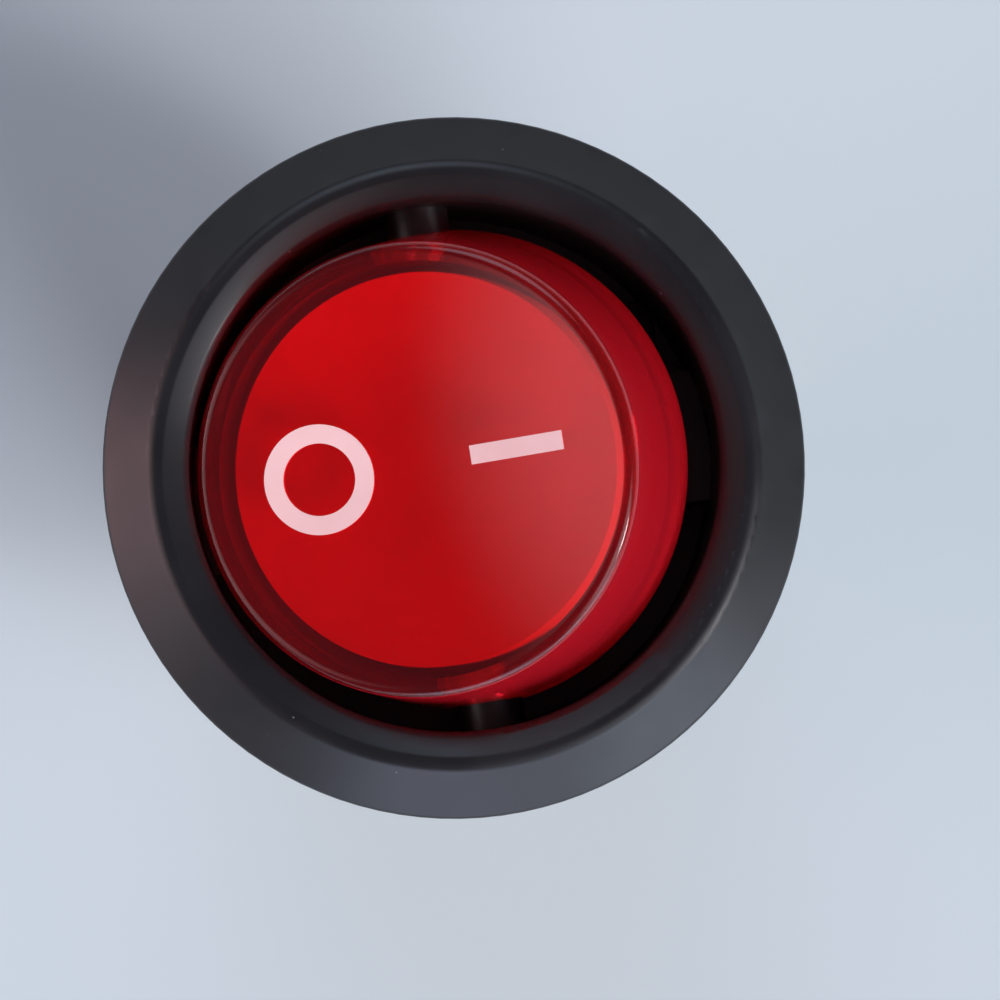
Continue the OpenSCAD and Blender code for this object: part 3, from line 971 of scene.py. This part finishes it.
@dataclass
class Assembly:
    """A set of CAD nodes on one body, each shown by a smooth skin.

    Args:
        finishes: The built material of each slot and zone.
        body: The body it rides on.
        nodes: Its CAD nodes and the slot of each.
        sharp: Edges that turn more than this stay sharp, in radians.
        weld: Points closer than this become one, in metres.
        flat_weight: How strongly large flats even out the shading, in percent.
    """

    finishes: dict[Slot | Zone, Material]
    body: Body = Body.BASE
    nodes: dict[str, Slot] = field(default_factory=dict)
    sharp: float = math.radians(24)
    weld: float = 0.0005 * MM
    flat_weight: int = 80

    def build(self) -> list[Piece]:
        """Makes every piece of the set.

        Returns:
            The pieces.
        """
        return [self.skin(node, slot) for node, slot in self.nodes.items()]

    def skin(self, node: str, slot: Slot) -> Piece:
        """Makes a welded, smooth copy of a CAD node and dresses it.

        Args:
            node: The CAD node's name.
            slot: The slot whose finish it wears.

        Returns:
            The new piece, which stands for the node.
        """
        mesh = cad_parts[node].data.copy()
        mesh.name = node + "_skin"
        if mesh.has_custom_normals:
            mesh.attributes.remove(mesh.attributes["custom_normal"])
        shape = bmesh.new()
        shape.from_mesh(mesh)
        bmesh.ops.remove_doubles(shape, verts=shape.verts, dist=self.weld)
        bmesh.ops.dissolve_degenerate(shape, edges=shape.edges, dist=self.weld)
        shape.to_mesh(mesh)
        shape.free()
        mesh.shade_smooth()
        mesh.set_sharp_from_angle(angle=self.sharp)
        piece = show(node + "_skin", mesh)
        weighted = piece.modifiers.new("even_normals", "WEIGHTED_NORMAL")
        weighted.keep_sharp = True
        weighted.weight = self.flat_weight
        return self.finish(piece, slot, node)

    def dress(self, piece: Piece, slot: Slot, *stands_for: str) -> Piece:
        """Gives a piece its material.

        Args:
            piece: The piece, in place.
            slot: The slot whose finish it wears.
            stands_for: CAD nodes that it hides.

        Returns:
            The same piece.
        """
        piece.data.materials.clear()
        piece.data.materials.append(self.finishes[slot])
        if stands_for:
            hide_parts(*stands_for)
        return piece

    def finish(self, piece: Piece, slot: Slot, *stands_for: str) -> Piece:
        """Gives a piece its material and its body.

        Args:
            piece: The piece, in place.
            slot: The slot whose finish it wears.
            stands_for: CAD nodes that it hides.

        Returns:
            The same piece.
        """
        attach(self.dress(piece, slot, *stands_for), self.body.value)
        LOG.info("%s rides on %s and wears %s", piece.name, self.body.value, slot.value)
        return piece


@dataclass
class Base(Assembly):
    """The housing with its terminals, fixed contact and lamp."""

    body: Body = Body.BASE
    nodes: dict[str, Slot] = field(default_factory=lambda: {
        "housing": Slot.MOULDING,
        "terminal_common": Slot.BRASS,
        "terminal_load": Slot.BRASS,
        "terminal_lamp": Slot.BRASS,
        "fixed_contact": Slot.SILVER,
        "lamp_bulb": Slot.GLASS,
        "lamp_electrodes": Slot.WIRE,
        "lamp_resistor": Slot.RESISTOR,
        "lamp_leads": Slot.WIRE,
    })


@dataclass
class Rocker(Assembly):
    """The clear red lens with what it holds.

    The lens and the diffuser are turned here from the part's own sizes, in millimetres from the
    axle, so that their curves are even where light passes through them.

    Args:
        skirt_r: The lens's radius at its lower edge.
        skirt_z: The height of that edge.
        rim_r: The lens's radius at its rim.
        rim_z: The rim's height.
        dish: How much lower the middle of the face is.
        rounding: The radius of the rounded edges.
        face: The thickness of the face.
        hollow_r: The radius of the hollow.
        notch_r: The radius of the notch over each axle stub.
        notch_y: The distance of each notch's middle from the rocker's middle.
        notch_l: The length of each notch along the axle.
        notch_depth: How far below the axle's axis a notch is cut.
        disc_r: The diffuser's radius.
        disc_gap: The air gap between the face and the diffuser.
        disc_t: The diffuser's thickness.
        disc_rim: The thickness of its rim.
        disc_foot: The height of the rim's foot.
        lens_sides: How many flats the lens's turn has.
        disc_sides: How many flats the diffuser's turn has.
        face_steps: How many steps the face's dish takes.
        round_steps: How many steps each rounded edge takes.
        under_steps: How many steps the underside takes, and the diffuser's top.
        disc_steps: How many steps the diffuser's underside takes.
        smooth: Edges of the lens and diffuser that turn more than this stay sharp, in radians.
        coil_smooth: The same for the spring.
        inner_slack: How far outside the hollow a face still counts as inside.
        inner_up: How steeply an inside face may look up, as its normal's height.
        face_up: How steeply a face looks up from which it belongs to the face and rim.
    """

    skirt_r: float = 7.9
    skirt_z: float = -0.5
    rim_r: float = 7.4
    rim_z: float = 5.05
    dish: float = 0.94
    rounding: float = 0.38
    face: float = 1.0
    hollow_r: float = 6.85
    notch_r: float = 1.22
    notch_y: float = 7.3
    notch_l: float = 2.4
    notch_depth: float = 3.0
    disc_r: float = 6.5
    disc_gap: float = 0.6
    disc_t: float = 0.6
    disc_rim: float = 0.8
    disc_foot: float = 1.5
    lens_sides: int = 160
    disc_sides: int = 128
    face_steps: int = 34
    round_steps: int = 12
    under_steps: int = 24
    disc_steps: int = 20
    smooth: float = math.radians(28)
    coil_smooth: float = math.radians(50)
    inner_slack: float = 0.02
    inner_up: float = 0.3
    face_up: float = 0.55
    body: Body = Body.ROCKER
    nodes: dict[str, Slot] = field(default_factory=lambda: {
        "rocker_frame": Slot.MOULDING,
        "off_mark": Slot.PRINT,
        "on_mark": Slot.PRINT,
    })

    def build(self) -> list[Piece]:
        """Makes the pieces that ride on the rocker.

        Returns:
            The pieces.
        """
        return [self.lens(), self.diffuser(), self.spring(), *super().build()]

    @property
    def place(self) -> Matrix:
        """The rocker's place at rest."""
        return Matrix.Translation((0, 0, AXLE)) @ Matrix.Rotation(math.radians(TILT), 4, "Y")

    @property
    def ball(self) -> tuple[float, float]:
        """The radius of the face's dish and the height of its centre."""
        radius = (self.rim_r ** 2 + self.dish ** 2) / (2 * self.dish)
        return radius, self.rim_z - self.dish + radius

    def lens(self) -> Piece:
        """Turns the hollow lens and cuts its axle notches.

        Returns:
            The finished lens.
        """
        radius, centre = self.ball
        rim_x = self.rim_r - self.rounding
        rim_z = centre - math.sqrt((radius + self.rounding) ** 2 - rim_x ** 2)
        base_x, base_z = self.skirt_r - self.rounding, self.skirt_z + self.rounding
        reach = math.degrees(math.asin(rim_x / (radius + self.rounding)))
        lean = math.degrees(math.atan2(base_x - rim_x, rim_z - base_z))
        under = radius + self.face
        inner = math.degrees(math.asin(self.hollow_r / under))
        profile = arc(0, centre, radius, -90, reach - 90, self.face_steps)
        profile += arc(rim_x, rim_z, self.rounding, 90 + reach, lean, self.round_steps)
        profile += arc(base_x, base_z, self.rounding, lean, -90, self.round_steps)
        profile += [(self.hollow_r, self.skirt_z)]
        profile += arc(0, centre, under, inner - 90, -90, self.under_steps)
        cutters = []
        half = self.notch_l / 2
        for middle in (-self.notch_y, self.notch_y):
            low = (-self.notch_r, middle - half, -self.notch_depth)
            high = (self.notch_r, middle + half, 0.0)
            cutters += [rod_along_y(self.notch_r, middle, self.notch_l), box_mesh(low, high)]
        piece = turned("rocker_lens_shell", profile, self.lens_sides)
        cut(piece, cutters)
        zones = [self.zone(face) for face in piece.data.polygons]
        settle(piece, self.place, self.smooth)
        self.finish(piece, Slot.LENS, "rocker_lens")
        for zone in Zone:
            piece.data.materials.append(self.finishes[zone])
        piece.data.polygons.foreach_set("material_index", zones)
        return piece

    def zone(self, face: bpy.types.MeshPolygon) -> int:
        """Tells which finish a face of the lens wears.

        Args:
            face: The face, upright and in millimetres.

        Returns:
            0 on the face and the rim, 1 on the wall, 2 on the inside.
        """
        within = face.center.xy.length < self.hollow_r + self.inner_slack
        if within and face.normal.z < self.inner_up:
            return 2
        return 0 if face.normal.z > self.face_up else 1

    def diffuser(self) -> Piece:
        """Turns the white dished disc under the face.

        Returns:
            The finished diffuser.
        """
        radius, centre = self.ball
        top = radius + self.face + self.disc_gap
        low = top + self.disc_t
        outer, inner = self.disc_r, self.disc_r - self.disc_rim
        over = math.degrees(math.asin(outer / top))
        below = math.degrees(math.asin(inner / low))
        profile = arc(0, centre, top, -90, over - 90, self.under_steps)
        profile += [(outer, self.disc_foot), (inner, self.disc_foot)]
        profile += arc(0, centre, low, below - 90, -90, self.disc_steps)
        piece = turned("rocker_diffuser_disc", profile, self.disc_sides)
        settle(piece, self.place, self.smooth)
        return self.finish(piece, Slot.NYLON, "rocker_diffuser")

    def spring(self) -> Piece:
        """Winds the spring that pushes the plunger down.

        Returns:
            The finished spring.
        """
        coil = CoilSpring()
        piece = coil.build("plunger_spring_coil", self.finishes[Slot.SPRING])
        settle(piece, self.place, self.coil_smooth)
        self.dress(piece, Slot.SPRING, "plunger_spring")
        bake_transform(piece)
        LOG.info("%s runs from %s to %s", piece.name, Body.PLUNGER.value, Body.ROCKER.value)
        return piece


@dataclass
class Plunger(Assembly):
    """The white plunger."""

    body: Body = Body.PLUNGER
    nodes: dict[str, Slot] = field(default_factory=lambda: {"plunger": Slot.NYLON})


@dataclass
class RockingContact(Assembly):
    """The formed strip and its silver contact."""

    body: Body = Body.CONTACT
    nodes: dict[str, Slot] = field(default_factory=lambda: {
        "rocking_contact": Slot.COPPER,
        "moving_contact": Slot.SILVER,
    })


# ---------------------------------------------------------------- studio


@dataclass(frozen=True)
class Panel:
    """A soft lamp.

    Args:
        name: Its name.
        bearing: Where it stands, in degrees anticlockwise from the picture's right.
        height: Its height above the horizon, in degrees.
        distance: Its distance, in metres.
        size: The side of its square face, in metres.
        power: Its power, in watts.
        colour: Its colour.
        mirrored: Whether glossy surfaces mirror it.
    """

    name: str
    bearing: float
    height: float
    distance: float
    size: float
    power: float
    colour: tuple[float, float, float]
    mirrored: bool = True


@dataclass(frozen=True)
class Glow:
    """A soft bright patch of the surroundings.

    Args:
        bearing: Where its middle is, in degrees anticlockwise from the picture's right.
        height: Its middle's height above the horizon, in degrees.
        spread: How far it reaches from its middle, in degrees.
        colour: Its colour at the middle.
    """

    bearing: float
    height: float
    spread: float
    colour: Colour


@dataclass
class Studio:
    """The floor, lamps and camera.

    Args:
        roll: How far the picture's right is turned clockwise from +X, in radians.
        lean: How far the camera stands to the left and below the middle, in radians.
        distance: The camera's distance from the middle, in metres.
        field_width: How much the picture shows at that distance, in metres.
        sensor: The camera's sensor width, in millimetres.
        shift: The camera's shift, in picture widths.
        clip: The nearest distance that the camera sees, in metres.
        floor_colour: The floor's colour.
        floor_roughness: The floor's roughness.
        floor_shine: The floor's specular level.
        floor_side: The floor's side, in metres.
        sky: The colour of the surroundings.
        backdrop: The colour of the band at the horizon.
        band: How far the band reaches above and below the horizon, in radians.
        glows: The bright patches of the surroundings.
        panels: The lamps.
    """

    roll: float = math.radians(8.7)
    lean: tuple[float, float] = (math.radians(0.715), math.radians(2.31))
    distance: float = 0.205
    field_width: float = 32.81 * MM
    sensor: float = 36.0
    shift: tuple[float, float] = (0.0462, -0.0322)
    clip: float = 0.01
    floor_colour: Colour = (0.54, 0.61, 0.65, 1.0)
    floor_roughness: float = 0.95
    floor_shine: float = 0.1
    floor_side: float = 8.0
    sky: Colour = (0.08, 0.085, 0.1, 1.0)
    backdrop: Colour = (0.5, 0.56, 0.6, 1.0)
    band: float = math.radians(9)
    glows: tuple[Glow, ...] = (
        Glow(190, 24, 36, (1.7, 1.3, 1.35, 1.0)),
        Glow(180, 5, 24, (2.4, 1.1, 1.25, 1.0)),
        Glow(-90, 6, 30, (2.3, 2.5, 3.3, 1.0)),
        Glow(-48, 8, 26, (2.9, 3.3, 4.0, 1.0)),
        Glow(-38, 46, 24, (1.6, 1.6, 1.7, 1.0)),
        Glow(-26, 30, 7, (30.0, 29.0, 30.0, 1.0)),
        Glow(100, 44, 24, (1.5, 1.8, 2.2, 1.0)),
    )
    panels: tuple[Panel, ...] = (
        Panel("key", -42, 40, 3.0, 2.2, 70.0, (1.0, 0.99, 0.98), False),
        Panel("right", -5, 24, 3.0, 2.0, 16.0, (1.0, 0.99, 0.98), False),
    )

    def build(self) -> None:
        """Makes the whole studio."""
        self.floor()
        self.world()
        for panel in self.panels:
            self.lamp(panel)
        self.camera()

    def picture_axes(self) -> tuple[Vector, Vector]:
        """Finds where the picture's sides point.

        Returns:
            The picture's right and up directions on the floor.
        """
        right = Vector((math.cos(self.roll), -math.sin(self.roll), 0))
        up = Vector((math.sin(self.roll), math.cos(self.roll), 0))
        return right, up

    def floor(self) -> None:
        """Lays a plain pale floor under the blades."""
        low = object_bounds()[0][2]
        half = self.floor_side / 2
        corners = [(x * half, y * half, low) for x, y in ((-1, -1), (1, -1), (1, 1), (-1, 1))]
        mesh = bpy.data.meshes.new("floor")
        mesh.from_pydata(corners, [], [(0, 1, 2, 3)])
        plane = show("floor", mesh)
        material, _, shader = fresh_material("floor")
        shader.inputs["Base Color"].default_value = self.floor_colour
        shader.inputs["Roughness"].default_value = self.floor_roughness
        shader.inputs["Specular IOR Level"].default_value = self.floor_shine
        mesh.materials.append(material)
        plane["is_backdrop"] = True

    def world(self) -> None:
        """Sets a dim even surrounding light with soft bright patches, and a pale horizon."""
        world = bpy.data.worlds.new("studio")
        world.use_nodes = True
        wiring = Wiring(world.node_tree)
        background = world.node_tree.nodes["Background"]
        direction = wiring.add("ShaderNodeTexCoord").outputs["Generated"]
        level = wiring.add("ShaderNodeSeparateXYZ")
        wiring.join(direction, level.inputs[0])
        away = wiring.math("ABSOLUTE", level.outputs["Z"])
        near = wiring.ramp(away, math.sin(self.band), math.sin(self.band / 2))
        total = wiring.blend(near, self.sky, self.backdrop)
        for glow in self.glows:
            towards = wiring.add("ShaderNodeVectorMath", operation="DOT_PRODUCT")
            wiring.join(direction, towards.inputs[0])
            towards.inputs[1].default_value = self.direction(glow.bearing, glow.height)
            share = wiring.ramp(towards.outputs["Value"], math.cos(math.radians(glow.spread)), 1.0)
            total = wiring.blend(share, total, glow.colour)
            total.node.blend_type = "ADD"
        wiring.join(total, background.inputs["Color"])
        bpy.context.scene.world = world

    def direction(self, bearing: float, height: float) -> Vector:
        """Turns a bearing and a height, in degrees, into a direction.

        Args:
            bearing: Degrees anticlockwise from the picture's right.
            height: Degrees above the horizon.

        Returns:
            The unit vector.
        """
        right, up = self.picture_axes()
        turn, lift = math.radians(bearing), math.radians(height)
        level = right * math.cos(turn) + up * math.sin(turn)
        return level * math.cos(lift) + Vector((0, 0, math.sin(lift)))

    def lamp(self, panel: Panel) -> None:
        """Hangs one soft lamp that faces the switch.

        Args:
            panel: What the lamp is.
        """
        place = self.direction(panel.bearing, panel.height) * panel.distance
        light = bpy.data.lights.new(panel.name, "AREA")
        light.shape = "SQUARE"
        light.size = panel.size
        light.energy = panel.power
        light.color = panel.colour
        lamp = show(panel.name, light)
        lamp.location = place
        lamp.visible_glossy = panel.mirrored
        lamp.rotation_euler = (-place).to_track_quat("-Z", "Y").to_euler()

    def camera(self) -> None:
        """Sets the camera above the switch, a little to the left and below the middle."""
        right, up = self.picture_axes()
        away = Vector((0, 0, 1)) - right * math.sin(self.lean[0]) - up * math.sin(self.lean[1])
        away.normalize()
        side = (right - away * right.dot(away)).normalized()
        up = away.cross(side)
        data = bpy.data.cameras.new("camera")
        data.sensor_width = self.sensor
        data.lens = self.sensor * self.distance / self.field_width
        data.shift_x, data.shift_y = self.shift
        data.clip_start = self.clip
        camera = show("camera", data)
        turn = Matrix((side, up, away)).transposed().to_4x4()
        camera.matrix_world = Matrix.Translation(away * self.distance) @ turn
        bpy.context.scene.camera = camera


def main() -> None:
    """Builds the switch and its studio, in order."""
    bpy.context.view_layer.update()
    bpy.context.scene.view_settings.view_transform = "Standard"
    effects = SharedEffects()
    finishes = {finish.slot: finish.make(effects) for finish in FINISHES}
    for kind in (Base, Rocker, Plunger, RockingContact):
        pieces = kind(finishes).build()
        LOG.info("%s: %d pieces", kind.__name__, len(pieces))
    Studio().build()


if __name__ == "__main__":
    logging.basicConfig(level=logging.INFO)
    main()
